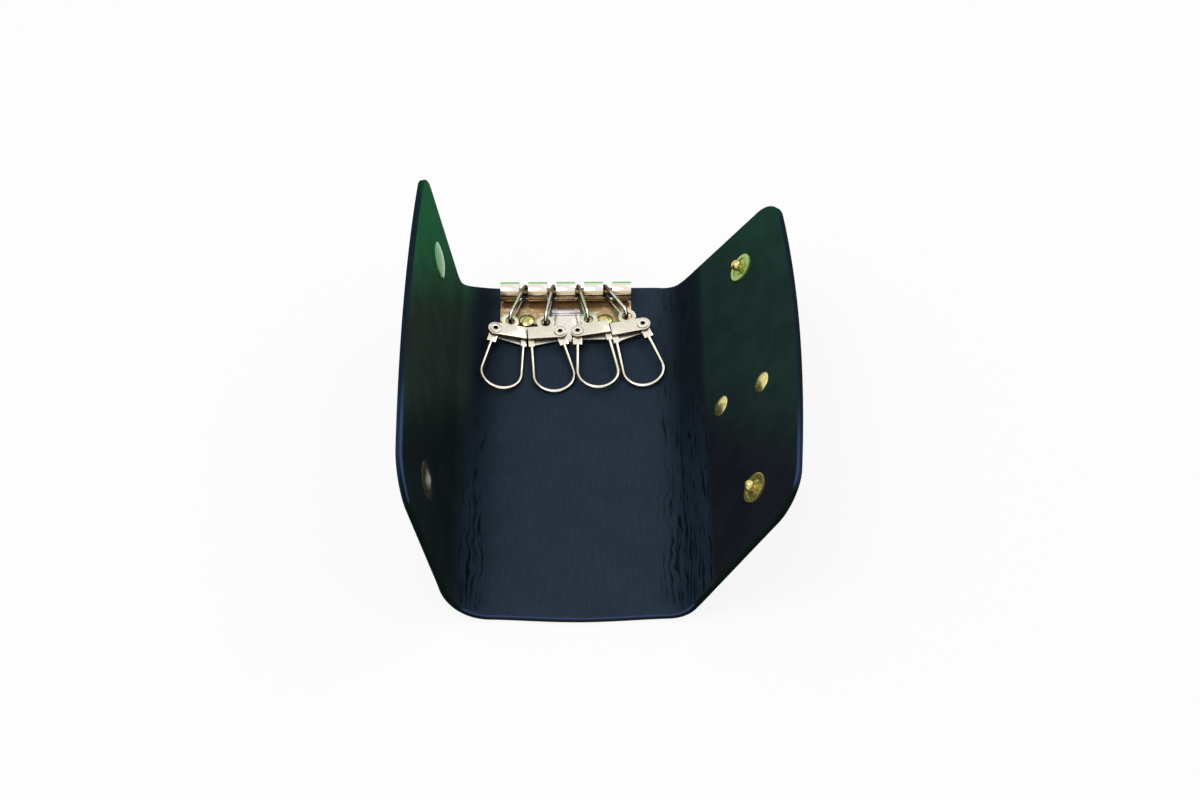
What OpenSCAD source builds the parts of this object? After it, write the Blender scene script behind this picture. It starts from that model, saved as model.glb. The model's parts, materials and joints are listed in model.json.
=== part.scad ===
// Tri-fold leather key case, lying open: a flat centre panel, a fold and a flap on each side,
// and a hinged key bar with four hooks at the far end.
// X runs across the case, +Y towards the key bar, Z up. Z = 0 is the surface the case lies on,
// and the origin is the middle of the centre panel's flat stretch.

/* [Leather] */
// Length of the case, from the near edge to the far edge
case_l = 120; // [112:1:140]
// Thickness of the outer leather
outer_t = 1.0; // [0.8:0.1:1.4]
// Thickness of the lining leather
lining_t = 0.8; // [0.6:0.1:1.0]

/* [Left fold and flap] */
// Inside radius of the left bend
left_bend_r = 11.2; // [9:0.2:14]
// Lean of the left flap, from the horizontal, in degrees
left_lean = 78; // [60:1:85]
// Straight length of the left flap beyond its bend, at its longest
left_flap_l = 45.3; // [40:0.1:50]
// Radius of the left flap's bowed outer edge
left_bow_r = 360; // [250:10:900]
// Where the left flap is longest, towards the near edge from the middle
left_bow_near = 10; // [0:1:20]
// How far the far edge is drawn in where the left bend ends
left_far_in = 6.6; // [0.1:0.1:8]
// How far the far edge is drawn in at the left flap's outer end
left_far_taper = 1.8; // [0:0.1:8]
// How far the near edge is drawn in where the left bend ends
left_near_in = 1.8; // [0.1:0.1:8]
// How far the near edge is drawn in at the left flap's outer end
left_near_taper = 1.6; // [0:0.1:8]
// Far corner radius of the left flap
left_far_r = 7; // [6:0.5:20]
// Near corner radius of the left flap
left_near_r = 11; // [6:0.5:20]

/* [Right fold and flap] */
// Inside radius of the right bend
right_bend_r = 6.3; // [5:0.1:9]
// Lean of the right flap, from the horizontal, in degrees
right_lean = 55; // [45:1:75]
// Flat leather that the right fold takes up when the case is shut
right_fold_flat = 4.6; // [3:0.1:5]
// Straight leather between the right bend and its flap
right_fold_straight = 11.4; // [9:0.1:13]
// Straight length of the right flap beyond its fold, at its longest
right_flap_l = 37.6; // [34:0.1:44]
// Radius of the right flap's bowed outer edge
right_bow_r = 330; // [250:10:900]
// Where the right flap is longest, towards the near edge from the middle
right_bow_near = -3; // [-10:1:20]
// Knee of the drawn-in edges, past the end of the right bend
right_knee = 1.5; // [1:0.1:3]
// How far the far edge is drawn in at the right knee
right_far_in = 2; // [0.1:0.1:8]
// How far the far edge is drawn in at the right flap's outer end
right_far_taper = 4.8; // [0:0.1:8]
// How far the near edge is drawn in at the right knee
right_near_in = 0.3; // [0.1:0.1:8]
// How far the near edge is drawn in at the right flap's outer end
right_near_taper = 6; // [0:0.1:8]
// Far corner radius of the right flap
right_far_r = 8.5; // [6:0.5:20]
// Near corner radius of the right flap
right_near_r = 10; // [6:0.5:20]

/* [Snaps] */
// Distance of each snap from the middle of the case's length
snap_half_span = 40.2; // [34:0.2:42]
// Left snaps, from the end of the bend
left_snap_in = 21.6; // [16:0.2:26]
// Right snaps, from the start of the flap
right_snap_in = 17.5; // [12:0.2:22]
// Radius of the left caps
cap_r = 5.15; // [4.5:0.05:5.6]
// Height of the caps' dome above its rim
cap_dome = 0.8; // [0.5:0.1:1.2]
// Height of the caps' rim
cap_rim = 0.2; // [0.1:0.05:0.4]
// Radius of the sockets' flange
socket_r = 4.8; // [4.2:0.1:5.2]
// Radius of the sockets' raised drum
socket_drum_r = 3.9; // [3.4:0.1:4.1]
// Height of the sockets above the leather
socket_h = 3.0; // [2.6:0.1:3.2]
// Thickness of the sockets' flange and floor
socket_floor = 0.35; // [0.3:0.05:0.4]
// Radius of the sockets' mouth
socket_mouth_r = 1.95; // [1.9:0.05:2.2]
// Radius of the studs' base disc
stud_r = 4.1; // [3.6:0.1:4.6]
// Thickness of the studs' base disc
stud_base = 0.7; // [0.6:0.05:0.9]
// Radius of the studs' neck
stud_neck_r = 1.15; // [1:0.05:1.3]
// Radius of the studs' knob
stud_knob_r = 1.55; // [1.45:0.05:1.6]
// Height of the studs above the leather
stud_h = 3.3; // [3:0.1:3.5]
// Radius of the snap posts and the rivets' shanks
post_r = 1.2; // [1:0.05:1.3]

/* [Rivets on the right flap] */
// Radius of the rivets' caps
rivet_r = 3.0; // [2.6:0.1:3.4]
// Height of the rivets' dome above its rim
rivet_dome = 0.8; // [0.5:0.1:1.2]
// Inner rivet, from the start of the flap
inner_rivet_in = 5.2; // [4.5:0.1:7]
// Inner rivet, towards the near edge from the middle
inner_rivet_near = 2.4; // [0:0.1:6]
// Outer rivet, from the start of the flap
outer_rivet_in = 22.6; // [20:0.1:26]
// Outer rivet, towards the near edge from the middle
outer_rivet_near = 7.3; // [0:0.1:10]

/* [Key bar] */
// Clear leather between the bar's left end and the left bend
bar_left_gap = 0.1; // [0:0.1:3]
// Clear leather between the bar's right end and the right bend
bar_right_gap = 8.5; // [7.8:0.1:12]
// Axis of the barrel, in from the far edge
bar_in = 4.5; // [4:0.1:6]
// Outside radius of the barrel
barrel_r = 2.8; // [2.6:0.05:3]
// Wall of the barrel
barrel_wall = 0.7; // [0.5:0.05:0.7]
// Length of each knuckle
knuckle_l = 5.4; // [5.2:0.05:5.5]
// Gap between two knuckles
knuckle_gap = 2.6; // [2.5:0.05:2.8]
// Thickness of the plate
plate_t = 0.3; // [0.25:0.01:0.32]
// Front edge of the plate, from the barrel's axis
plate_front = 10.6; // [9:0.1:12]
// Open mouth of each knuckle, where the rolled plate ends, from its lower to its upper edge, in degrees
mouth_low = 8; // [5:1:15]
mouth_high = 44; // [35:1:50]
// Width of the pad in the middle of the plate
pad_w = 7.8; // [6.5:0.1:8]
// Thickness of the pad, pressed up from the plate
pad_t = 0.5; // [0.4:0.05:0.55]
// Front edge of the pad, from the barrel's axis
pad_front = 17.9; // [16:0.1:19]
// Back edge of the pad's lip, from the barrel's axis
lip_back = 5.9; // [5.6:0.1:6.4]
// Depth of the pad's lip
lip_w = 1.1; // [0.8:0.1:1.4]
// Height of the pad's lip above the plate
lip_h = 0.6; // [0.4:0.1:0.7]
// Radius of the rod through the barrel
rod_r = 0.75; // [0.7:0.01:0.76]
// Length of the plug at each end of the rod
plug_l = 1.8; // [1.2:0.1:2.4]
// How far each plug lies inside the barrel's end
plug_in = 0.4; // [0.2:0.1:0.6]
// Distance of each plate rivet from the bar's middle
bar_rivet_x = 11.1; // [10:0.1:12]
// Plate rivets, in front of the barrel's axis
bar_rivet_front = 9.2; // [8.4:0.1:9.4]
// Radius of the plate rivets' heads
bar_rivet_r = 2.3; // [2:0.1:2.4]
// Height of the plate rivets' dome
bar_rivet_dome = 0.65; // [0.4:0.05:0.8]
// Thickness of the plate rivets' back washers, let into the outer leather
washer_t = 0.3; // [0.2:0.05:0.4]

/* [Links] */
// Radius of the links' wire
link_wire_r = 0.5; // [0.45:0.01:0.5]
// Half width of a link, at the middle of its wire
link_half_w = 1.95; // [1.9:0.01:2]
// Wire behind the rod, from the rod's axis
link_back = 1.4; // [1.38:0.01:1.45]
// Wire in the hook's ear, from the rod's axis
link_reach = 12.8; // [12.4:0.1:13.2]

/* [Hooks] */
// Thickness of the hooks' top plate
head_t = 0.6; // [0.5:0.05:0.7]
// Half width of the top plate, and its radius round the eyelet
head_half_w = 2.1; // [1.9:0.05:2.2]
// Length of the top plate beyond the eyelet's middle
head_l = 9.1; // [9:0.05:9.2]
// Half the space between the top plate and the spring leaf
head_space = 0.6; // [0.58:0.01:0.65]
// Middle of the ear, along the head from the eyelet
ear_along = 3.9; // [3.6:0.1:4.4]
// Middle of the ear, above the eyelet
ear_up = 3.5; // [3.3:0.1:3.8]
// Outside radius of the ear
ear_r = 2.5; // [2.4:0.05:2.6]
// Radius of the ear's hole
ear_hole_r = 1.4; // [1.3:0.05:1.5]
// Thickness of the spring leaf
leaf_t = 0.45; // [0.35:0.05:0.5]
// Radius of the eyelet's tube
eyelet_r = 1.15; // [1.05:0.05:1.2]
// Radius of the eyelet's hole
eyelet_hole_r = 0.65; // [0.5:0.05:0.8]
// Radius of the eyelet's flanges
flange_r = 1.65; // [1.5:0.05:1.7]
// Thickness of the eyelet's flanges
flange_t = 0.3; // [0.25:0.05:0.35]
// Radius of the bows' wire
bow_wire_r = 0.55; // [0.5:0.01:0.58]
// Radius of the bows' round end
bow_r = 5.65; // [5:0.05:6]
// Latch leg of the bow, along the head from the eyelet
latch_along = 8.3; // [8:0.05:8.3]
// Middle of the bows' round end, below the eyelet
bow_down = 15.05; // [14:0.05:17]
// Radius of the bows' pivot shoe
shoe_r = 1.75; // [1.6:0.05:1.75]
// Width of the shoe's shank
shank_w = 2.5; // [2:0.1:2.7]
// Length of the shoe's shank from the eyelet's middle
shank_l = 4.6; // [4:0.1:5]
// Width of the latch foot
foot_w = 1.6; // [1.4:0.1:1.6]
// Top of the latch foot, below the eyelet
foot_top = 1.2; // [1:0.1:1.4]
// Length of the latch foot
foot_l = 3.4; // [3:0.1:3.8]

/* [Lie of the hooks] */
// Swing of each link to the right, in degrees
link_yaw = [-18, -9, 12, 27.5];
// Rise of each link towards its hook, in degrees
link_rise = [3.6, 2.4, 6.6, 6.6];
// Place of each link in its gap, as a share of the gap
link_place_share = [0.08, 0.12, -0.1, -0.2];
// Turn of each hook seen from above, in degrees
hook_turn = [-2, 4, 12, 9.5];
// Dip of each bow towards the near edge, in degrees
hook_dip = [2.9, 4.2, 3.2, 6];
// Roll of each hook about its bow, in degrees
hook_roll = [12, 0, 0, -5];

/* [Hidden] */
$fn = 96;

// Running and seating fits, as shares of the shaft's radius
fit = post_r / 60;
pivot_fit = eyelet_r / 25;

leather_t = outer_t + lining_t;
half_l = case_l / 2;

// The panel is as wide as the key bar needs: half its flat width, and the bar's place left of its middle
knuckles = 5;
knuckle_step = knuckle_l + knuckle_gap;
bar_half_l = (knuckles * knuckle_l + (knuckles - 1) * knuckle_gap) / 2;
flat_half_w = bar_half_l + (bar_left_gap + bar_right_gap) / 2;
bar_left = (bar_right_gap - bar_left_gap) / 2;
past = leather_t;
left_end_x = flat_half_w + left_bend_r * sin(left_lean);
left_end_z = leather_t + left_bend_r * (1 - cos(left_lean));
right_end_x = flat_half_w + right_bend_r * sin(right_lean);
right_end_z = leather_t + right_bend_r * (1 - cos(right_lean));
panel_right = flat_half_w - right_fold_flat;
right_l = right_fold_straight - right_knee + right_flap_l;
past_share = 0.15;

// An end of a flap: its corner's radius, its distance from the middle at the flap's start, and its slope
function flap_end(r, first_in, last_in, whole_l, start) =
    let (slope = (last_in - first_in) / whole_l) [r, half_l - first_in - slope * start, slope];
left_far = flap_end(left_far_r, left_far_in, left_far_taper, left_flap_l, 0);
left_near = flap_end(left_near_r, left_near_in, left_near_taper, left_flap_l, 0);
knee_l = right_fold_straight - right_knee;
right_far = flap_end(right_far_r, right_far_in, right_far_taper, right_l, knee_l);
right_near = flap_end(right_near_r, right_near_in, right_near_taper, right_l, knee_l);

bar_y = half_l - bar_in;
bar_z = leather_t + barrel_r;
barrel_bore_r = barrel_r - barrel_wall;
plate_z = leather_t;

hooks = 4;
// The wire's place in the ear's hole, towards the rod
link_play_share = 0.6;
ear_seat = ear_hole_r - link_wire_r - link_wire_r * link_play_share;
shoe_half_t = bow_wire_r + fit;

// Pressed ring of a stud, inside and outside, its depth, the post's hole and the knob's height
stud_ring_shares = [0.5, 0.72];
stud_groove_share = 0.4;
stud_bore_share = 0.7;
stud_knob_share = 0.8;
// Flat top of the pad's lip, across its depth
lip_top_shares = [0.25, 0.75];
// Spring leaf: its edge past the flange, its low corner, its tip's corner, its back edge and its length
leaf_slope_share = 0.85;
leaf_low_share = 1.55;
leaf_tip_share = 1.1;
leaf_back_share = 0.8;
leaf_shoe_share = 0.97;
leaf_length_share = 0.98;

// Right-hand hooks of each pair are mirrored
function side(k) = k % 2 == 0 ? 1 : -1;
function gap_x(k) = -bar_left + (k - (hooks - 1) / 2) * knuckle_step + link_place_share[k] * knuckle_gap;

LINING = "#232b3a";
OUTER = "#15301f";
GOLD = "#c9b483";
PALE = "#d8c9a4";

// Length of leather extruded along Y from a profile in the XZ plane
module along_length(length) {
    rotate([90, 0, 0]) linear_extrude(length, center = true) children();
}

// Leather bend of one layer, from straight down round to the lean
module bend(inner_r, thickness, lean) {
    rotate([90, 0, 0]) rotate([0, 0, -90]) rotate_extrude(angle = lean)
        translate([inner_r, -half_l]) square([thickness, case_l]);
}

// Frame on the inner face of a flap, at the end of its bend: X up the flap, Z off the inner face
module on_right() {
    translate([right_end_x, 0, right_end_z]) rotate([0, -right_lean, 0]) children();
}
module on_left() {
    mirror([1, 0, 0]) translate([left_end_x, 0, left_end_z]) rotate([0, -left_lean, 0]) children();
}

// Waste outside a flap's corner of radius r, tangent to its bowed outer edge and to its tapered end.
// The end starts at the height edge and falls by slope for each unit along the flap.
module corner_waste(r, length, bow_r, bow_y, edge, slope) {
    unit = sqrt(1 + slope * slope);
    out = [slope / unit, 1 / unit];
    along = [out.y, -out.x];
    bow_middle = [length - bow_r, bow_y];
    rise = edge / unit - r - out * bow_middle;
    middle = bow_middle + rise * out + sqrt((bow_r - r) * (bow_r - r) - rise * rise) * along;
    to_bow = (middle - bow_middle) / (bow_r - r);
    difference() {
        polygon([middle, middle + 2 * r * out, middle + 2 * r * (out + to_bow), middle + 2 * r * to_bow]);
        translate(middle) circle(r);
    }
}

// Flap outline from its start: two drawn-in ends and a bowed outer edge, with two rounded corners
module flap_outline(length, bow_r, bow_near, far, near) {
    reach = length + past;
    difference() {
        intersection() {
            polygon([
                [0, far[1]],
                [reach, far[1] - far[2] * reach],
                [reach, near[2] * reach - near[1]],
                [0, -near[1]]]);
            translate([length - bow_r, -bow_near]) circle(bow_r, $fn = 720);
        }
        corner_waste(far[0], length, bow_r, -bow_near, far[1], far[2]);
        mirror([0, 1]) corner_waste(near[0], length, bow_r, bow_near, near[1], near[2]);
    }
}

// Waste past the drawn-in ends of a fold, in the frame at their knee, from just past the bend's start
module fold_waste(bend_l, length, far_ins, near_ins) {
    for (m = [0, 1]) mirror([0, m, 0]) linear_extrude(2 * case_l, center = true) polygon([
        [-bend_l, half_l + past_share * (m == 0 ? far_ins[0] : near_ins[0])],
        [0, half_l - (m == 0 ? far_ins[0] : near_ins[0])],
        [length, half_l - (m == 0 ? far_ins[1] : near_ins[1])],
        [length, case_l],
        [-bend_l, case_l]]);
}

// Holes through a flap for the posts of its snaps and rivets
module hole(x, y) {
    translate([x, y, -2 * leather_t]) cylinder(h = 3 * leather_t, r = post_r + fit);
}
module right_holes() {
    for (s = [-1, 1]) hole(right_snap_in, s * snap_half_span);
    hole(inner_rivet_in, -inner_rivet_near);
    hole(outer_rivet_in, -outer_rivet_near);
}
module left_holes() {
    for (s = [-1, 1]) hole(left_snap_in, s * snap_half_span);
}

// Domed cap on a rim, standing on the plane Z = 0
module domed_cap(r, rim, dome) {
    ball_r = (r * r + dome * dome) / (2 * dome);
    rotate_extrude() {
        square([r, rim]);
        translate([0, rim]) intersection() {
            translate([0, dome - ball_r]) circle(ball_r, $fn = 720);
            square([r, dome]);
        }
    }
}

// Centre panel
module panel_slab(z, thickness) {
    translate([-flat_half_w, -half_l, z]) cube([flat_half_w + panel_right, case_l, thickness]);
}
module at_bar_rivets() {
    for (s = [-1, 1]) translate([s * bar_rivet_x - bar_left, bar_y - bar_rivet_front, 0]) children();
}
module centre_outer() {
    color(OUTER) difference() {
        panel_slab(0, outer_t);
        at_bar_rivets() translate([0, 0, outer_t - washer_t])
            cylinder(h = outer_t, r = bar_rivet_r + fit);
    }
}
module centre_lining() {
    color(LINING) difference() {
        panel_slab(outer_t, lining_t);
        at_bar_rivets() cylinder(h = 2 * leather_t, r = post_r + fit);
    }
}

// Left fold: one bend
module left_fold(inner_r, thickness) {
    difference() {
        mirror([1, 0, 0]) translate([flat_half_w, 0, leather_t + left_bend_r])
            bend(inner_r, thickness, left_lean);
        on_left() fold_waste(left_bend_r * sin(left_lean), left_flap_l,
            [left_far_in, left_far_taper], [left_near_in, left_near_taper]);
    }
}
module left_fold_outer() {
    color(OUTER) left_fold(left_bend_r + lining_t, outer_t);
}
module left_fold_lining() {
    color(LINING) left_fold(left_bend_r, lining_t);
}

// Right fold: a flat strip, the bend and a straight strip
module right_fold(inner_r, thickness, top) {
    difference() {
        union() {
            translate([panel_right, -half_l, leather_t - top - thickness])
                cube([right_fold_flat, case_l, thickness]);
            translate([flat_half_w, 0, leather_t + right_bend_r]) bend(inner_r, thickness, right_lean);
            on_right() translate([0, -half_l, -top - thickness])
                cube([right_fold_straight, case_l, thickness]);
        }
        on_right() translate([right_knee, 0, 0]) fold_waste(right_bend_r * sin(right_lean) + right_knee,
            right_l, [right_far_in, right_far_taper], [right_near_in, right_near_taper]);
    }
}
module right_fold_outer() {
    color(OUTER) right_fold(right_bend_r + lining_t, outer_t, lining_t);
}
module right_fold_lining() {
    color(LINING) right_fold(right_bend_r, lining_t, 0);
}

// Flaps
module left_flap_layer(top, thickness) {
    on_left() difference() {
        translate([0, 0, -top - thickness]) linear_extrude(thickness)
            flap_outline(left_flap_l, left_bow_r, left_bow_near, left_far, left_near);
        left_holes();
    }
}
module left_flap_outer() {
    color(OUTER) left_flap_layer(lining_t, outer_t);
}
module left_flap_lining() {
    color(LINING) left_flap_layer(0, lining_t);
}
module on_right_flap() {
    on_right() translate([right_fold_straight, 0, 0]) children();
}
module right_flap_layer(top, thickness) {
    on_right_flap() difference() {
        translate([0, 0, -top - thickness]) linear_extrude(thickness)
            flap_outline(right_flap_l, right_bow_r, right_bow_near, right_far, right_near);
        right_holes();
    }
}
module right_flap_outer() {
    color(OUTER) right_flap_layer(lining_t, outer_t);
}
module right_flap_lining() {
    color(LINING) right_flap_layer(0, lining_t);
}

// Snap caps on the left flap: a domed cap and a post whose end is spread inside the socket
module left_snap_caps() {
    spread = socket_floor / 2;
    color(GOLD) on_left() for (s = [-1, 1]) translate([left_snap_in, s * snap_half_span, 0]) {
        domed_cap(cap_r, cap_rim, cap_dome);
        translate([0, 0, -leather_t - socket_floor - spread])
            cylinder(h = leather_t + socket_floor + spread, r = post_r);
        translate([0, 0, -leather_t - socket_floor - spread])
            cylinder(h = spread, r = post_r + spread);
    }
}

// Snap sockets on the outer face of the left flap
module socket() {
    difference() {
        union() {
            cylinder(h = socket_floor, r = socket_r);
            cylinder(h = socket_h, r = socket_drum_r);
        }
        translate([0, 0, socket_floor]) cylinder(h = socket_h, r = socket_mouth_r);
        translate([0, 0, -socket_floor]) cylinder(h = 3 * socket_floor, r = post_r + fit);
    }
}
module left_snap_sockets() {
    color(GOLD) on_left() for (s = [-1, 1])
        translate([left_snap_in, s * snap_half_span, -leather_t]) mirror([0, 0, 1]) socket();
}

// Snap studs on the inner face of the right flap: a ringed base, a neck and a knob
module stud() {
    ring_in = stud_r * stud_ring_shares[0];
    ring_out = stud_r * stud_ring_shares[1];
    groove = stud_base * stud_groove_share;
    neck_top = stud_h - 2 * stud_knob_r * stud_knob_share;
    bore = stud_base * stud_bore_share;
    difference() {
        cylinder(h = stud_base, r = stud_r);
        translate([0, 0, stud_base - groove]) difference() {
            cylinder(h = stud_base, r = ring_out);
            translate([0, 0, -stud_base]) cylinder(h = 3 * stud_base, r = ring_in);
        }
        translate([0, 0, -stud_base]) cylinder(h = stud_base + bore, r = post_r + fit);
    }
    translate([0, 0, stud_base]) cylinder(h = neck_top - stud_base + stud_knob_r / 2, r = stud_neck_r);
    intersection() {
        translate([0, 0, stud_h - stud_knob_r]) sphere(stud_knob_r);
        translate([0, 0, neck_top]) cylinder(h = stud_h, r = 2 * stud_knob_r);
    }
}
module right_snap_studs() {
    color(GOLD) on_right_flap() for (s = [-1, 1])
        translate([right_snap_in, s * snap_half_span, 0]) stud();
}

// Backs of the studs: a disc on the outer face and a post through the leather
module right_snap_posts() {
    color(GOLD) on_right_flap() for (s = [-1, 1])
        translate([right_snap_in, s * snap_half_span, -leather_t]) {
            mirror([0, 0, 1]) domed_cap(stud_r, cap_rim, cap_dome / 2);
            cylinder(h = leather_t + stud_base / 2, r = post_r);
        }
}

// Two rivets on the right flap: caps inside, backs outside
module at_flap_rivets() {
    on_right_flap() translate([inner_rivet_in, -inner_rivet_near, 0]) children();
    on_right_flap() translate([outer_rivet_in, -outer_rivet_near, 0]) children();
}
module right_rivet_caps() {
    color(GOLD) at_flap_rivets() {
        domed_cap(rivet_r, cap_rim, rivet_dome);
        translate([0, 0, -leather_t - cap_rim]) cylinder(h = leather_t + cap_rim, r = post_r);
    }
}
module right_rivet_backs() {
    color(GOLD) at_flap_rivets() translate([0, 0, -leather_t]) mirror([0, 0, 1]) difference() {
        domed_cap(rivet_r, cap_rim, rivet_dome);
        translate([0, 0, -cap_rim]) cylinder(h = 2 * cap_rim + fit, r = post_r + fit);
    }
}

// Key bar: five knuckles rolled from one notched plate, with a lipped pad in its middle
module knuckle_x(i) {
    translate([-bar_left + (i - (knuckles - 1) / 2) * knuckle_step, 0, 0]) children();
}
module plate_blank() {
    translate([-bar_left - bar_half_l, bar_y - plate_front, plate_z])
        cube([2 * bar_half_l, plate_front, plate_t]);
    translate([-bar_left - pad_w / 2, bar_y - pad_front, plate_z])
        cube([pad_w, pad_front - lip_back, pad_t]);
}
module pad_lip() {
    translate([-bar_left - pad_w / 2, bar_y - lip_back, plate_z + pad_t]) rotate([90, 0, 90])
        linear_extrude(pad_w) polygon([[0, 0], [-lip_w, 0], [-lip_w * lip_top_shares[1], lip_h],
            [-lip_w * lip_top_shares[0], lip_h]]);
}
// Waste in front of a knuckle's foot, between the plate and the end of the roll
module mouth() {
    reach = 2 * barrel_r;
    rotate([90, 0, 90]) linear_extrude(2 * knuckle_l, center = true) polygon([
        [0, 0],
        [-reach * sin(mouth_low), -reach * cos(mouth_low)],
        [-reach * sin(mouth_high), -reach * cos(mouth_high)]]);
}
module knuckle() {
    difference() {
        rotate([0, 90, 0]) cylinder(h = knuckle_l, r = barrel_r, center = true);
        rotate([0, 90, 0]) cylinder(h = 2 * knuckle_l, r = barrel_bore_r, center = true);
        mouth();
    }
}
module key_bar() {
    color(PALE) difference() {
        union() {
            plate_blank();
            pad_lip();
            for (i = [0:knuckles - 1]) knuckle_x(i) translate([0, bar_y, bar_z]) knuckle();
        }
        at_bar_rivets() cylinder(h = bar_z, r = post_r + fit);
    }
}

// Rod through the knuckles, with a plug inside each end of the barrel
module bar_rod() {
    rod_half_l = bar_half_l - plug_in;
    color(PALE) translate([-bar_left, bar_y, bar_z]) {
        rotate([0, 90, 0]) cylinder(h = 2 * rod_half_l, r = rod_r, center = true);
        for (s = [-1, 1]) translate([s * (rod_half_l - plug_l / 2), 0, 0]) rotate([0, 90, 0])
            cylinder(h = plug_l, r = barrel_bore_r - fit, center = true);
    }
}

// Rivets that hold the bar to the lining
module bar_rivets() {
    color(GOLD) at_bar_rivets() {
        translate([0, 0, plate_z + plate_t]) domed_cap(bar_rivet_r, cap_rim, bar_rivet_dome);
        translate([0, 0, outer_t]) cylinder(h = lining_t + plate_t, r = post_r);
        translate([0, 0, outer_t - washer_t]) cylinder(h = washer_t, r = bar_rivet_r);
    }
}

// Link: a stadium of wire round the rod, running towards -Y in the YZ plane from the rod's axis
module link_ring() {
    back_y = link_back - link_half_w;
    far_y = -link_reach + link_half_w;
    rotate([90, 0, 90]) {
        translate([back_y, 0, 0]) rotate([0, 0, -90]) rotate_extrude(angle = 180)
            translate([link_half_w, 0]) circle(link_wire_r);
        translate([far_y, 0, 0]) rotate([0, 0, 90]) rotate_extrude(angle = 180)
            translate([link_half_w, 0]) circle(link_wire_r);
    }
    for (s = [-1, 1]) translate([0, far_y, s * link_half_w]) rotate([-90, 0, 0])
        cylinder(h = back_y - far_y, r = link_wire_r);
}
module at_link(k) {
    translate([gap_x(k), bar_y, bar_z]) rotate([0, 0, link_yaw[k]]) rotate([-link_rise[k], 0, 0])
        children();
}
module link(k) {
    color(PALE) at_link(k) link_ring();
}

// Frame of a hook: X along the head, Y towards the ear, Z off the top plate, from the eyelet
module at_hook(k) {
    rise = link_rise[k];
    yaw = link_yaw[k];
    tip = link_reach * [sin(yaw) * cos(rise), -cos(yaw) * cos(rise), sin(rise)];
    translate([gap_x(k), bar_y, bar_z] + tip) rotate([0, 0, hook_turn[k]])
        rotate([hook_dip[k], 0, 0]) rotate([0, hook_roll[k], 0])
        mirror([side(k) < 0 ? 1 : 0, 0, 0])
        translate([-ear_along, -ear_up - ear_seat, -head_space - head_t / 2]) children();
}

// Head: the top plate with its ear, and a web folded down behind the latch
module head_shape() {
    web_t = head_t;
    web_start = flange_r + web_t / 2;
    difference() {
        union() {
            translate([0, 0, head_space]) linear_extrude(head_t) union() {
                circle(head_half_w);
                translate([0, -head_half_w]) square([head_l, 2 * head_half_w]);
                translate([ear_along, ear_up]) circle(ear_r);
            }
            translate([web_start, head_half_w - web_t, -head_space])
                cube([head_l - web_start, web_t, 2 * head_space]);
        }
        translate([ear_along, ear_up, 0]) cylinder(h = 2 * head_space + head_t, r = ear_hole_r);
        cylinder(h = 2 * head_space + head_t, r = eyelet_r + fit);
    }
}
module hook_head(k) {
    color(PALE) at_hook(k) head_shape();
}

// Spring leaf under the latch foot
module leaf_shape() {
    slope_start = flange_r * leaf_slope_share;
    slope_end = latch_along - foot_w / 2;
    leaf_low = head_half_w * leaf_low_share;
    leaf_tip = head_l * leaf_length_share;
    leaf_back = head_half_w * leaf_back_share;
    translate([0, 0, -head_space - leaf_t]) linear_extrude(leaf_t) difference() {
        union() {
            circle(shoe_r);
            polygon([[0, leaf_back], [0, -shoe_r * leaf_shoe_share], [slope_start, -head_half_w],
                [slope_end, -leaf_low], [leaf_tip, -head_half_w * leaf_tip_share], [leaf_tip, leaf_back]]);
        }
        circle(eyelet_r + fit);
    }
}
module hook_spring(k) {
    color(PALE) at_hook(k) leaf_shape();
}

// Eyelet: a tube through head, shoe and leaf, with a flange at each end
module eyelet_shape() {
    low = -head_space - leaf_t;
    high = head_space + head_t;
    difference() {
        union() {
            translate([0, 0, low - flange_t]) cylinder(h = high - low + 2 * flange_t, r = eyelet_r);
            translate([0, 0, low - flange_t]) cylinder(h = flange_t, r = flange_r);
            translate([0, 0, high]) cylinder(h = flange_t, r = flange_r);
        }
        translate([0, 0, 2 * low]) cylinder(h = 4 * high, r = eyelet_hole_r);
    }
}
module hook_eyelet(k) {
    color(PALE) at_hook(k) eyelet_shape();
}

// Bow: a pivot shoe, a leg that runs straight into the round end, and the latch leg with its foot
module bow_shape() {
    centre = [latch_along - bow_r, -bow_down];
    centre_gap = norm(centre);
    leg_l = sqrt(centre_gap * centre_gap - bow_r * bow_r);
    leg_dir = atan2(centre.y, centre.x) - asin(bow_r / centre_gap);
    arc_start = leg_dir - 90;
    arc_turn = -arc_start;
    difference() {
        union() {
            cylinder(h = 2 * shoe_half_t, r = shoe_r, center = true);
            rotate([0, 0, leg_dir]) translate([0, -shank_w / 2, -shoe_half_t])
                cube([shank_l, shank_w, 2 * shoe_half_t]);
        }
        cylinder(h = 4 * shoe_half_t, r = eyelet_r + pivot_fit, center = true);
    }
    translate(centre) rotate([0, 0, arc_start]) {
        rotate_extrude(angle = arc_turn) translate([bow_r, 0]) circle(bow_wire_r);
        translate([bow_r, 0, 0]) rotate([90, 0, 0])
            cylinder(h = leg_l - shank_l + shank_w / 4, r = bow_wire_r);
        rotate([0, 0, arc_turn]) translate([bow_r, 0, 0]) rotate([-90, 0, 0])
            cylinder(h = bow_down - foot_top - foot_l + foot_w / 4, r = bow_wire_r);
    }
    translate([latch_along - foot_w / 2, -foot_top - foot_l, -shoe_half_t])
        cube([foot_w, foot_l, 2 * shoe_half_t]);
}
module bow(k) {
    color(PALE) at_hook(k) bow_shape();
}

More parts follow.
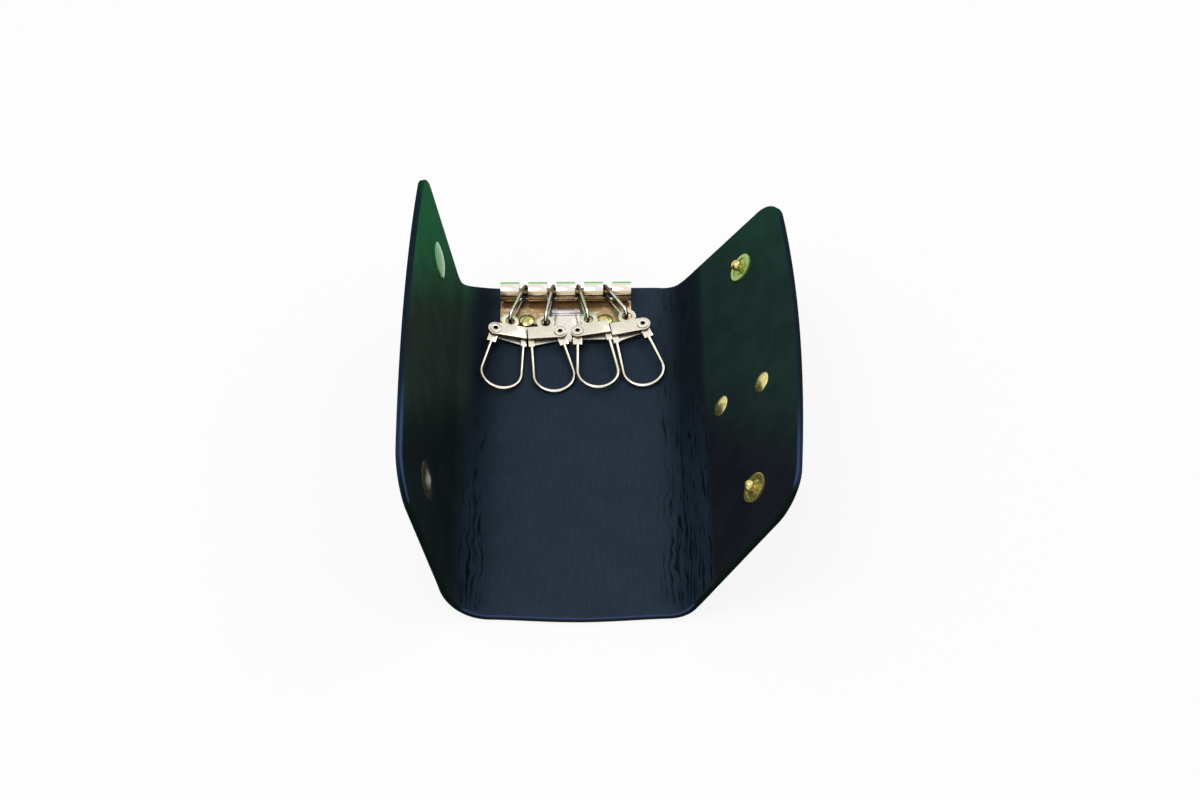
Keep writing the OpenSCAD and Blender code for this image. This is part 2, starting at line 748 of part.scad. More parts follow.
centre_outer();
centre_lining();
left_fold_outer();
left_fold_lining();
right_fold_outer();
right_fold_lining();
left_flap_outer();
left_flap_lining();
right_flap_outer();
right_flap_lining();
left_snap_caps();
left_snap_sockets();
right_snap_studs();
right_snap_posts();
right_rivet_caps();
right_rivet_backs();
key_bar();
bar_rod();
bar_rivets();
for (k = [0:hooks - 1]) {
    link(k);
    hook_head(k);
    hook_spring(k);
    hook_eyelet(k);
    bow(k);
}
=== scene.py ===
import json
import math

import bmesh
import bpy
from mathutils import Matrix, Vector, noise
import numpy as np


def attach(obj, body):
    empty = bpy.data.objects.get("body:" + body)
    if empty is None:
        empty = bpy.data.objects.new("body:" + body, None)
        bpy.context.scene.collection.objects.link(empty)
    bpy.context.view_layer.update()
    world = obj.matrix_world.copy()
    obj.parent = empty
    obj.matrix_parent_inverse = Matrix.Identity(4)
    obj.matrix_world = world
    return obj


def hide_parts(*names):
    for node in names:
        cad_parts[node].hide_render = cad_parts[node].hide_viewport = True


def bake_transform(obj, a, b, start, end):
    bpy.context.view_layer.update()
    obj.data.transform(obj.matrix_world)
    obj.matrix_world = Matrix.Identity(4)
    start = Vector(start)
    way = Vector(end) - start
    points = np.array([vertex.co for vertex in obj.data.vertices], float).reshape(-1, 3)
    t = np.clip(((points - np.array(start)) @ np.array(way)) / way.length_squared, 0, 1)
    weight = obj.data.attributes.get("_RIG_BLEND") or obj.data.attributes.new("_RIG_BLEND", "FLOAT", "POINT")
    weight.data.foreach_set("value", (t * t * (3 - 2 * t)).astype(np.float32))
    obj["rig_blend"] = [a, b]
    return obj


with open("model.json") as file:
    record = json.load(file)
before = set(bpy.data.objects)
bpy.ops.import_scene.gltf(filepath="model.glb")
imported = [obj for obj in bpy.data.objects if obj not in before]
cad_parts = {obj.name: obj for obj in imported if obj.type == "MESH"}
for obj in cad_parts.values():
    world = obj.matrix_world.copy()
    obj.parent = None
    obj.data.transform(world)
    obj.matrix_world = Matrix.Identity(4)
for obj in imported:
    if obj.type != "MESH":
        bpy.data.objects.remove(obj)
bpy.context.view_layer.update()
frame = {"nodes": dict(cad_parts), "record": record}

MM = 0.001

# Lining leather, in three pieces that read as one sheet: the centre panel and, on each side, a fold
# with its flap. It is smooth cowhide, 0.8 mm thick, glued to the outer leather. Its cut edge is sanded
# round and painted, and the folds carry the long fine creases of years of opening and shutting.
CASE_L = 120.0
LINING_T = 0.8
OUTER_T = 1.0
LEATHER_T = LINING_T + OUTER_T

# Each side in millimetres and degrees, measured outwards along the lining's face. The fold's piece
# starts at seam, the bend starts at flat and turns by lean at radius bend, and the flap is flap long
# with corners of radius far and near. Its outer edge is bowed by radius bow about a middle bow_near
# towards the near end. Its ends are drawn in by far_in and near_in, at the knee and at the outer edge.
# soft is how far into the flap the bend runs when the flap turns. creased is where the creases lie,
# and far_creases their share at the far end. sunk lists the caps and rivets: place past the bend,
# place along the case, and radius.
LEFT = {"sign": -1, "joint": "left_flap", "seam": 23.0, "flat": 23.0, "bend": 11.2, "lean": 78.0,
        "flap": 45.3, "far": 7.0, "near": 11.0, "bow": 360.0, "bow_near": 10.0,
        "knee": 0.0, "far_in": (6.6, 1.8), "near_in": (1.8, 1.6), "soft": 0.0,
        "creased": (22.0, 36.0), "far_creases": 0.42,
        "sunk": [(21.6, 40.2, 5.15), (21.6, -40.2, 5.15)]}
RIGHT = {"sign": 1, "joint": "right_flap", "seam": 18.4, "flat": 23.0, "bend": 6.3, "lean": 55.0,
         "flap": 49.0, "far": 8.5, "near": 10.0, "bow": 330.0, "bow_near": -3.0,
         "knee": 1.5, "far_in": (2.0, 4.8), "near_in": (0.3, 6.0), "soft": 11.0,
         "creased": (19.0, 40.5), "far_creases": 0.62,
         "sunk": [(28.9, 40.2, 4.1), (28.9, -40.2, 4.1), (16.6, -2.4, 3.0), (34.0, -7.3, 3.0)]}

# The near edge of the panel stands out in the middle by the bulge.
BULGE = 1.1
BULGE_HALF_W = 27.0
EVENED_OVER = (-3.0, -1.5, 0.0, 1.5, 3.0)
LATE_START = 0.15


def unit(value):
    """The value, held between 0 and 1."""
    return min(max(value, 0.0), 1.0)


def fold_arc(side):
    return side["bend"] * math.radians(side["lean"])


def lay(side, s, y, h):
    """Place of a point: s along the lining's face from the middle, y along the case, h below the face."""
    lean = math.radians(side["lean"])
    turn = min(max((s - side["flat"]) / side["bend"], 0.0), lean)
    over = max(s - side["flat"] - fold_arc(side), 0.0)
    r = side["bend"] + h
    x = min(s, side["flat"]) + r * math.sin(turn) + over * math.cos(lean)
    z = LEATHER_T + side["bend"] - r * math.cos(turn) + over * math.sin(lean)
    return Vector((side["sign"] * x, y, z)) * MM


def drawn_in(side, s, ins):
    """How far an end of the sheet is drawn in at s: nothing on the panel, then towards and past the knee."""
    lean = math.radians(side["lean"])
    bend_l = side["bend"] * math.sin(lean)
    total = 0.0
    for shift in EVENED_OVER:
        at = s + shift - side["flat"] - fold_arc(side)
        if at < 0.0:
            turn = -at / side["bend"]
            at = -side["bend"] * math.sin(turn) if turn < lean else -bend_l
        if at < side["knee"]:
            share = (1.0 + LATE_START) * (at + bend_l) / (side["knee"] + bend_l) - LATE_START
            total += max(share, 0.0) * ins[0]
        else:
            total += ins[0] + (ins[1] - ins[0]) * (at - side["knee"]) / (side["flap"] - side["knee"])
    return total / len(EVENED_OVER)


def bulge(x):
    """How far the near edge stands out from a straight line, most in the middle."""
    return BULGE * math.cos(math.pi / 2 * min(abs(x) / BULGE_HALF_W, 1.0)) ** 2


def shaped(side, s, y):
    """Place on the real outline of a place on the plain one: ends drawn in, outer edge bowed."""
    half = CASE_L / 2
    if y > 0:
        y *= (half - drawn_in(side, s, side["far_in"])) / half
    else:
        y *= (half + bulge(s) - drawn_in(side, s, side["near_in"])) / half
    out = max(s - side["flat"] - fold_arc(side), 0.0) / side["flap"]
    away = y + side["bow_near"]
    return s - out * (side["bow"] - math.sqrt(side["bow"] ** 2 - away * away)), y


# Creases are valleys pressed into the lining: deep ones, and finer ones between them.
DEEP_SPACING = 1.75
FINE_SPACING = 0.95
CREASE_DEPTH = 0.22
CREASE_START_L = 4.5
CREASE_END_L = 1.6


def valleys(place, spacing, width):
    """Even lines, from 0 to 1, at a spacing in millimetres."""
    return math.exp((math.cos(2 * math.pi * place / spacing) - 1.0) / width)


def drift(s, y, across, along, seed):
    """A smooth wavering about 0. across and along say how quickly it changes in a millimetre."""
    return noise.noise(Vector((s * across, y * along, seed)))


def crease(side, s, y):
    """Creases, from 0 to 1: long wavering valleys that fade in and out, with finer ones between them."""
    seed = 5.0 * side["sign"]
    wander = s + 1.7 * drift(s, y, 0.15, 0.08, seed) + 0.6 * drift(s, y, 0.45, 0.26, seed + 2.0)
    ripple = wander + 0.35 * drift(s, y, 0.9, 0.6, seed + 6.0)
    near = unit((-4.0 - y) / 48.0)
    deep = valleys(wander, DEEP_SPACING, 0.5)
    deep *= unit(0.3 + 0.4 * near + 1.6 * drift(s, y, 0.35, 0.11, 11.3))
    fine = valleys(ripple, FINE_SPACING, 0.75)
    fine *= unit(0.45 + 1.7 * drift(s, y, 0.55, 0.2, 7.7))
    return min(0.8 * deep + 0.65 * fine, 1.0)


def crease_share(side, s, y):
    """How much of the creases a place carries: all of it on the fold, more towards the near edge."""
    low, high = side["creased"]
    share = unit((s - low) / CREASE_START_L) * unit((high - s) / CREASE_END_L)
    near = unit((18.0 - y) / 55.0)
    return share * (side["far_creases"] + (1.0 - side["far_creases"]) * near)


# The press that sets a cap or a rivet leaves the leather standing up round it in a low ring.
RAISED = 0.16
RAISED_W = 1.3


def raised(side, s, y):
    """How far the leather stands up at a place, from the rings round the caps and rivets."""
    start = side["flat"] + fold_arc(side)
    total = 0.0
    for along, across, r in side["sunk"]:
        away = math.hypot(s - start - along, y - across) - r
        if 0.0 < away < RAISED_W:
            total += RAISED * math.cos(math.pi / 2 * away / RAISED_W)
    return total


# The sheets are cut from grids that are finest on the folds. The edge is rounded by ROUND on the shown
# side, and a fine groove of GROOVE parts it from the other layer.
FINE_STEP = 0.2
FLAP_STEP = 0.8
ROW_STEP = 0.75
CORNER_STEPS = 18
ROUND = 0.4
ROUND_STEPS = 3
GROOVE = 0.08
SAME_PLACE = 0.0008
SIDE_SHADE = 0.3
UV_PER_MM = 0.01


def sheet_rows(side):
    """Places along the case, closer together round the flap's two corners."""
    half = CASE_L / 2 - ROUND
    ends = []
    for radius in (side["near"] - ROUND, side["far"] - ROUND):
        angles = [math.pi / 2 * i / CORNER_STEPS for i in range(CORNER_STEPS + 1)]
        ends.append([half - radius + radius * math.sin(a) for a in angles])
    low, high = -ends[0][0], ends[1][0]
    count = round((high - low) / ROW_STEP)
    middle = [low + (high - low) * i / count for i in range(1, count)]
    return [-y for y in reversed(ends[0])] + middle + ends[1]


def sheet_columns(side):
    """Places across the case from the seam to the flap's end, and the last one before the corners."""
    start = side["flat"] + fold_arc(side)
    fine_end = max(start + 1.2, side["creased"][1] + 0.5)
    end = start + side["flap"] - ROUND
    turn = end - max(side["near"], side["far"]) - 1.0
    marks = []
    for low, high, step in ((side["seam"], fine_end, FINE_STEP), (fine_end, turn, FLAP_STEP),
                            (turn, end, FLAP_STEP)):
        count = max(round((high - low) / step), 1)
        marks += [low + (high - low) * i / count for i in range(count)]
    return marks + [end], turn


def flap_end(side, y, inset):
    """End of the flap at y, round its corners, and the way out from its edge there."""
    end = side["flat"] + fold_arc(side) + side["flap"] - inset
    r = (side["near"] if y < 0 else side["far"]) - inset
    into = abs(y) - (CASE_L / 2 - inset - r)
    if into <= 0:
        return end, Vector((1, 0))
    across = math.sqrt(max(r * r - into * into, 0.0))
    return end - r + across, Vector((across, math.copysign(into, y))) / r


def row_way(rows, row):
    """The way out from the sheet's near or far edge, or None between them."""
    return Vector((0, 1 if row else -1)) if row in (0, len(rows) - 1) else None


def edge_steps(depth):
    """Steps out and down from a sheet's face round its sanded edge to its back."""
    steps = []
    for i in range(1, ROUND_STEPS + 1):
        a = math.pi / 2 * i / ROUND_STEPS
        steps.append((ROUND * math.sin(a), ROUND * (1 - math.cos(a))))
    return steps + [(ROUND, depth - GROOVE), (ROUND - GROOVE, depth), (0.0, depth)]


def cut_sheet(columns, rows, place, way_out, depth):
    """Cuts a sheet from a grid: place() lays each point flat, way_out() tells which way its edge faces."""
    bm = bmesh.new()
    bmesh.ops.create_grid(bm, x_segments=len(columns) - 1, y_segments=len(rows) - 1, size=0.5)
    at_column = bm.verts.layers.int.new("column")
    at_row = bm.verts.layers.int.new("row")
    edge = bm.verts.layers.float.new("edge")
    shade = bm.verts.layers.float.new("shade")
    for v in bm.verts:
        v[at_column] = round((v.co.x + 0.5) * (len(columns) - 1))
        v[at_row] = round((v.co.y + 0.5) * (len(rows) - 1))
    for v in bm.verts:
        v.co = place(columns[v[at_column]], rows[v[at_row]])

    def way(v):
        return way_out(v[at_column], v[at_row])

    rim = [e for e in bm.edges if e.is_boundary and way(e.verts[0]) and way(e.verts[1])]
    copied = bmesh.ops.duplicate(bm, geom=bm.faces[:])["geom"]
    bmesh.ops.reverse_faces(bm, faces=[g for g in copied if isinstance(g, bmesh.types.BMFace)])
    back = [g for g in copied if isinstance(g, bmesh.types.BMVert)]
    bmesh.ops.translate(bm, verts=back, vec=(0, 0, -depth))
    last = 0.0
    for step, (out, down) in enumerate(edge_steps(depth)):
        grown = bmesh.ops.extrude_edge_only(bm, edges=rim)["geom"]
        verts = {g for g in grown if isinstance(g, bmesh.types.BMVert)}
        rim = [g for g in grown if isinstance(g, bmesh.types.BMEdge) and set(g.verts) <= verts]
        for v in verts:
            facing = way(v)
            v.co.x += facing.x * (out - last)
            v.co.y += facing.y * (out - last)
            v.co.z = -down
            v[edge] = 1.0
            v[shade] = min(step / ROUND_STEPS, 1.0) * (SIDE_SHADE + (1.0 - SIDE_SHADE) * abs(facing.y))
        last = out
    bmesh.ops.remove_doubles(bm, verts=bm.verts, dist=SAME_PLACE)
    bmesh.ops.holes_fill(bm, edges=[e for e in bm.edges if e.is_boundary], sides=0)
    bmesh.ops.recalc_face_normals(bm, faces=bm.faces)
    return bm


def map_flat(bm, sign):
    """Gives the leather a map of its flat shape, so that its grain and colours follow the folds."""
    flat_map = bm.loops.layers.uv.new("leather")
    for face in bm.faces:
        for loop in face.loops:
            co = loop.vert.co
            loop[flat_map].uv = (sign * co.x * UV_PER_MM, co.y * UV_PER_MM)


def new_piece(name, bm, sharp, material):
    """Makes a piece of a mesh, smooth except at edges sharper than an angle in degrees."""
    mesh = bpy.data.meshes.new(name)
    bm.to_mesh(mesh)
    bm.free()
    mesh.shade_smooth()
    mesh.set_sharp_from_angle(angle=math.radians(sharp))
    mesh.materials.append(material)
    piece = bpy.data.objects.new(name, mesh)
    bpy.context.scene.collection.objects.link(piece)
    return piece


SHEET_SHARP = 50
CALM_RIM_W = 1.2
CALM_SEAM_W = 2.5


def side_sheet(name, side, face_h, way_in, depth, creased, material):
    """Fold and flap of one layer. face_h is its shown face, way_in is 1 down from it or -1 up from it."""
    rows = sheet_rows(side)
    columns, turn = sheet_columns(side)

    def flat(s, y):
        end = flap_end(side, y, ROUND)[0]
        return turn + (s - turn) * (end - turn) / (columns[-1] - turn) if s > turn else s

    def place(s, y):
        return (*shaped(side, flat(s, y), y), 0.0)

    def way_out(column, row):
        if column == len(columns) - 1:
            return flap_end(side, rows[row], ROUND)[1]
        return row_way(rows, row)

    bm = cut_sheet(columns, rows, place, way_out, depth)
    creases = bm.verts.layers.float.new("crease")
    map_flat(bm, side["sign"])
    edge = bm.verts.layers.float["edge"]
    at_column = bm.verts.layers.int["column"]
    at_row = bm.verts.layers.int["row"]
    for v in bm.verts:
        s, y, depth_in = v.co.x, v.co.y, -v.co.z
        h = face_h + way_in * depth_in
        if creased and v[edge] == 0.0 and depth_in < SAME_PLACE:
            plain_y = rows[v[at_row]]
            plain_s = flat(columns[v[at_column]], plain_y)
            inside = min(CASE_L / 2 - abs(plain_y), flap_end(side, plain_y, 0.0)[0] - plain_s)
            calm = unit((inside - ROUND) / CALM_RIM_W)
            seam_calm = unit((s - side["seam"]) / CALM_SEAM_W)
            v[creases] = crease(side, s, y) * crease_share(side, s, y) * calm * seam_calm
            h += CREASE_DEPTH * v[creases] - raised(side, s, y)
        v.co = lay(side, s, y, h)
    bmesh.ops.recalc_face_normals(bm, faces=bm.faces)
    piece = new_piece(name, bm, SHEET_SHARP, material)
    start = lay(side, side["flat"], 0.0, LEATHER_T / 2)
    end = lay(side, side["flat"] + fold_arc(side) + side["soft"], 0.0, LEATHER_T / 2)
    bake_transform(piece, "case", side["joint"], start=tuple(start), end=tuple(end))
    return piece


def centre_sheet(name, face_h, way_in, depth, material):
    """Centre panel of one layer, between the two folds' seams."""
    rows = sheet_rows(LEFT)
    width = LEFT["seam"] + RIGHT["seam"]
    count = round(width / FLAP_STEP)
    columns = [-LEFT["seam"] + width * i / count for i in range(count + 1)]

    def place(s, y):
        return (s, y * (1.0 + bulge(s) / CASE_L * 2) if y < 0 else y, 0.0)

    def way_out(column, row):
        return row_way(rows, row)

    bm = cut_sheet(columns, rows, place, way_out, depth)
    bm.verts.layers.float.new("crease")
    map_flat(bm, 1)
    for v in bm.verts:
        v.co = Vector((v.co.x, v.co.y, LEATHER_T - face_h + way_in * v.co.z)) * MM
    bmesh.ops.recalc_face_normals(bm, faces=bm.faces)
    piece = new_piece(name, bm, SHEET_SHARP, material)
    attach(piece, "case")
    return piece


def layer(name, face_h, way_in, depth, creased, material):
    """The three pieces of one layer, each in the place of its CAD nodes."""
    centre = centre_sheet(f"centre_{name}_leather", face_h, way_in, depth, material)
    left = side_sheet(f"left_{name}_leather", LEFT, face_h, way_in, depth, creased, material)
    right = side_sheet(f"right_{name}_leather", RIGHT, face_h, way_in, depth, creased, material)
    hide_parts(f"centre_{name}")
    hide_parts(f"left_fold_{name}", f"left_flap_{name}")
    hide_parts(f"right_fold_{name}", f"right_flap_{name}")


def colour(text):
    """A colour written as on a chart, in the shader's linear light."""
    parts = [int(text[i:i + 2], 16) / 255 for i in (0, 2, 4)]
    return [p / 12.92 if p <= 0.04045 else ((p + 0.055) / 1.055) ** 2.4 for p in parts] + [1.0]


def new_material(name):
    material = bpy.data.materials.new(name)
    material.use_nodes = True
    return material, material.node_tree, material.node_tree.nodes["Principled BSDF"]


def add(tree, kind, settings=(), **values):
    """Adds a node, sets its options and then its sockets, by name or by number as i0, i1 and so on."""
    made = tree.nodes.new(kind)
    for key, value in dict(settings).items():
        setattr(made, key, value)
    for key, value in values.items():
        socket = made.inputs[int(key[1:])] if key[0] == "i" and key[1:].isdigit() else made.inputs[key]
        if isinstance(value, bpy.types.NodeSocket):
            tree.links.new(value, socket)
        else:
            socket.default_value = value
    return made


def maths(tree, operation, first, second=0.0):
    return add(tree, "ShaderNodeMath", {"operation": operation}, i0=first, i1=second).outputs[0]


def ramp(tree, value, low, high):
    """0 at low, 1 at high, eased between them."""
    return add(tree, "ShaderNodeMapRange", {"interpolation_type": "SMOOTHERSTEP"}, Value=value,
               **{"From Min": low, "From Max": high}).outputs[0]


def spread(tree, value, low, high):
    """low where the value is 0, high where it is 1."""
    return add(tree, "ShaderNodeMapRange", Value=value, **{"To Min": low, "To Max": high}).outputs[0]


def mix(tree, share, first, second):
    return add(tree, "ShaderNodeMix", {"data_type": "RGBA"}, Factor=share, i6=first, i7=second).outputs[2]


def toned(tree, level, base):
    """The colour, lighter or darker by a level."""
    return add(tree, "ShaderNodeHueSaturation", Value=level, Color=base).outputs[0]


def cloudy(tree, place, scale, detail, roughness):
    """Smooth random patches, from 0 to 1."""
    return add(tree, "ShaderNodeTexNoise", Vector=place, Scale=scale, Detail=detail,
               Roughness=roughness).outputs[0]


def painted(tree, name):
    """A share that the mesh carries at each of its points or corners."""
    return add(tree, "ShaderNodeAttribute", {"attribute_name": name}).outputs["Fac"]


def faded(tree, place, tones, marks):
    """The first tone, then each next one faded in between its two marks."""
    base = colour(tones[0])
    for tone, (low, high) in zip(tones[1:], marks):
        base = mix(tree, ramp(tree, place, low, high), base, colour(tone))
    return base


# Where the leather's colour changes, in millimetres on the flat sheet: across the case from its middle,
# or along it towards the far end. A flap's tones run along it, and slant towards its outer edge.
ON_LEFT_FOLD = (-19.0, -29.0)
ON_RIGHT_FOLD = (19.0, 30.0)
ON_LEFT_FLAP = (-27.5, -37.0)
ON_RIGHT_FLAP = (36.8, 41.2)
FLAP_FOOT = 38.0
# LEFT_FADES and RIGHT_FADES place the flaps' painted shade and green reflection, FOLD_FADE the folds' painted
# shade, RIM_FADES the edge's painted highlight and green reflection, and the CORNER marks the edge's painted
# shade on the near corners.
LEFT_FADES = ((-8.0, 22.0), (34.0, 78.0))
RIGHT_FADES = ((-20.0, 26.0), (40.0, 95.0))
FOLD_FADE = (-30.0, 25.0)
RIM_FADES = ((-18.0, -46.0), (40.0, 56.0))
CORNER_START = (27.0, 33.0)
CORNER_END = (76.0, 70.0)
CORNER_NEAR = (-36.0, -42.0)


def leather(name, tones, grain):
    """Smooth cowhide: grain and streaks in relief, painted shade on the folds and in the creases, flaps
    painted with shade and a green reflection, and a painted edge with a painted highlight and shade.
    """
    material, tree, shader = new_material(name)
    flat = add(tree, "ShaderNodeUVMap", {"uv_map": "leather"}).outputs[0]
    place = add(tree, "ShaderNodeMapping", i0=flat, Scale=(1 / UV_PER_MM,) * 3).outputs[0]
    parts = add(tree, "ShaderNodeSeparateXYZ", i0=place)
    across, along = parts.outputs[0], parts.outputs[1]
    out = maths(tree, "ABSOLUTE", across)
    on_fold = maths(tree, "MAXIMUM", ramp(tree, across, *ON_LEFT_FOLD), ramp(tree, across, *ON_RIGHT_FOLD))
    on_flap = maths(tree, "MAXIMUM", ramp(tree, across, *ON_LEFT_FLAP), ramp(tree, across, *ON_RIGHT_FLAP))

    # The panel's tone is mottled and streaked. It is painted darker on the folds and in the creases, as
    # shade.
    cloud = cloudy(tree, place, 0.09, 3.0, 0.6)
    streaks = add(tree, "ShaderNodeMapping", i0=place, Scale=(1.5, 0.16, 1.0)).outputs[0]
    streak = cloudy(tree, streaks, 1.0, 4.0, 0.6)
    mottle = cloudy(tree, place, 2.4, 3.0, 0.7)
    base = mix(tree, ramp(tree, cloud, 0.3, 0.7), colour(tones["panel"][0]), colour(tones["panel"][1]))
    base = mix(tree, ramp(tree, streak, 0.32, 0.68), toned(tree, 0.92, base), toned(tree, 1.08, base))
    base = mix(tree, ramp(tree, mottle, 0.42, 0.7), base, toned(tree, 1.2, base))
    # Painted shade on the folds, darker still towards the far end.
    shaded_fold = mix(tree, ramp(tree, along, *FOLD_FADE), toned(tree, 0.84, base), colour(tones["far_fold_shade"]))
    base = mix(tree, on_fold, base, shaded_fold)
    # Painted shade in the crease valleys, by the crease share the mesh carries.
    base = mix(tree, ramp(tree, painted(tree, "crease"), 0.05, 0.75), base, toned(tree, 0.22, base))

    # The flaps' tones, from the near end to the far end: painted shade, darkest at the near end, and a
    # painted green reflection towards the far end.
    past = maths(tree, "MAXIMUM", maths(tree, "SUBTRACT", out, FLAP_FOOT))
    slope = maths(tree, "ADD", past, along)
    left_tone = faded(tree, slope, tones["left"], LEFT_FADES)
    right_tone = faded(tree, slope, tones["right"], RIGHT_FADES)
    flap_tone = mix(tree, ramp(tree, across, -1.0, 1.0), left_tone, right_tone)
    flap_tone = mix(tree, ramp(tree, cloud, 0.35, 0.65), flap_tone, toned(tree, 1.2, flap_tone))
    tone = mix(tree, on_flap, base, flap_tone)

    # The edge paint, with painted shade underneath and on the slanted near corners, a painted highlight along
    # the near edge's rounding, and a painted green reflection towards the far end.
    corner = maths(tree, "MULTIPLY", ramp(tree, out, *CORNER_START), ramp(tree, out, *CORNER_END))
    corner = maths(tree, "MULTIPLY", corner, ramp(tree, along, *CORNER_NEAR))
    shaded = maths(tree, "MAXIMUM", painted(tree, "shade"), corner)
    rim = faded(tree, along, tones["rim"], RIM_FADES)
    rim = mix(tree, ramp(tree, shaded, 0.25, 0.95), rim, colour(tones["rim_shade"]))
    tone = mix(tree, ramp(tree, painted(tree, "edge"), 0.2, 0.9), tone, rim)
    tree.links.new(tone, shader.inputs["Base Color"])

    # The panel is waxed and slightly glossier than the folds and flaps.
    pebble = add(tree, "ShaderNodeTexVoronoi", {"feature": "SMOOTH_F1"}, Vector=place, Scale=grain).outputs[0]
    fine = cloudy(tree, place, grain * 2.6, 5.0, 0.65)
    dull = maths(tree, "MAXIMUM", on_flap, on_fold)
    tree.links.new(spread(tree, fine, 0.46, 0.66), shader.inputs["Roughness"])
    tree.links.new(spread(tree, dull, 0.06, 0.0), shader.inputs["Specular IOR Level"])
    first = add(tree, "ShaderNodeBump", Strength=0.5, Distance=0.09 * MM, Height=pebble)
    second = add(tree, "ShaderNodeBump", Strength=0.5, Distance=0.05 * MM, Height=fine)
    third = add(tree, "ShaderNodeBump", Strength=0.6, Distance=0.16 * MM, Height=streak)
    tree.links.new(first.outputs[0], second.inputs["Normal"])
    tree.links.new(second.outputs[0], third.inputs["Normal"])
    tree.links.new(third.outputs[0], shader.inputs["Normal"])
    return material


# The panel's two tones are the leather's own. The fold tone is painted shade, the flaps' tones run from
# painted shade at the near end to a painted green reflection at the far end, the rim's lighter navy is a
# painted highlight on the near edge and its green a painted reflection at the far end, and the rim's shade
# tone is painted shade.
LINING_TONES = {"panel": ("212e3b", "24313f"), "far_fold_shade": "19222a",
                "left": ("182122", "2a352f", "295f40"), "right": ("191c22", "1f302d", "203c33"),
                "rim": ("1b2730", "36446a", "1c4028"), "rim_shade": "101d19"}
layer("lining", 0.0, 1, LINING_T, True, leather("navy lining leather", LINING_TONES, 1.1))

# Outer leather, the same three pieces on the outside: full-grain cowhide, 1 mm thick, glued to the
# lining. Its edge is sanded flush with the lining's and painted with it.
# As on the lining: the fold tone and the near flap tones are painted shade, the far flap tones a painted
# green reflection, and the rim's lighter navy and green a painted highlight and a painted reflection.
OUTER_TONES = {"panel": ("171f29", "1b2430"), "far_fold_shade": "131b1e",
               "left": ("12191b", "151d1b", "182622"), "right": ("121519", "142021", "142021"),
               "rim": ("18232b", "222e45", "17361f"), "rim_shade": "0e1a16"}
layer("outer", LEATHER_T, -1, OUTER_T, False, leather("dark outer leather", OUTER_TONES, 0.8))

# Key bar: plate, pad and five rolled knuckles, stamped from half-millimetre brass sheet with a pale gold
# plating, riveted to the lining through the plate. Its painted reflections, highlights and shade are set by
# place, in millimetres.
BODY_OF = {node: body for body, nodes in frame["record"]["behaviour"]["bodies"].items() for node in nodes}
# The way the light comes from, for painted shade on the metal's faces turned away from it.
LIT_FROM = Vector((-0.1, -0.55, 0.83))
BRIGHT = 0.9
# Metallic of the places painted with reflection, highlight or shade, lower so that their painted colour
# shows.
PAINTED_METALLIC = 0.5
METAL_SHARP = 42
BROKEN_OVER = 38


def painted_light(paint, x=None, y=None, z=None, patchy=(0.0, 0.1)):
    """A place of painted reflection, highlight or shade, in another colour. Each axis has four marks, where
    it starts, is full, and ends.
    """
    return colour(paint), (x, y, z), patchy


def box_share(tree, parts, marks):
    """1 inside a box and eased to 0 at its outside, by each axis that has marks."""
    total = None
    for part, edges in zip(parts.outputs, marks):
        if edges is None:
            continue
        rise = ramp(tree, part, edges[0] * MM, edges[1] * MM)
        fall = ramp(tree, part, edges[3] * MM, edges[2] * MM)
        share = maths(tree, "MULTIPLY", rise, fall)
        total = share if total is None else maths(tree, "MULTIPLY", total, share)
    return total


def metal(name, tones, lit, rough, places=(), lean=0.0):
    """Plated brass: fine specks, faces turned from the light painted in a darker sides tone as shade, and
    places of painted reflection, highlight or shade in other colours.
    lean turns the places with a leaning piece, in degrees about the line along the case."""
    material, tree, shader = new_material(name)
    place = add(tree, "ShaderNodeTexCoord").outputs["Object"]
    wide = cloudy(tree, place, 160.0, 3.0, 0.6)
    fine = cloudy(tree, place, 3200.0, 3.0, 0.7)
    plating, speck, sides = [colour(tone) for tone in tones]
    base = mix(tree, ramp(tree, fine, 0.4, 0.66), plating, speck)
    # The sides tone is painted shade, on faces turned away from LIT_FROM.
    base = mix(tree, ramp(tree, painted(tree, "facing"), *lit), sides, base)
    shader.inputs["Metallic"].default_value = BRIGHT
    if places:
        leaned = add(tree, "ShaderNodeMapping", i0=place, Rotation=(0.0, math.radians(lean), 0.0))
        parts = add(tree, "ShaderNodeSeparateXYZ", i0=leaned.outputs[0])
        patch = cloudy(tree, place, 520.0, 4.0, 0.7)
        # Each place paints a reflection, highlight or shade, and is made less metallic.
        painted_share = 0.0
        for paint, marks, patchy in places:
            share = maths(tree, "MULTIPLY", box_share(tree, parts, marks), ramp(tree, patch, *patchy))
            base = mix(tree, share, base, paint)
            painted_share = maths(tree, "MAXIMUM", share, painted_share)
        tree.links.new(spread(tree, painted_share, BRIGHT, PAINTED_METALLIC), shader.inputs["Metallic"])
    tree.links.new(base, shader.inputs["Base Color"])
    tree.links.new(spread(tree, wide, *rough), shader.inputs["Roughness"])
    bump = add(tree, "ShaderNodeBump", Strength=0.4, Distance=0.03 * MM, Height=fine)
    tree.links.new(bump.outputs[0], shader.inputs["Normal"])
    return material


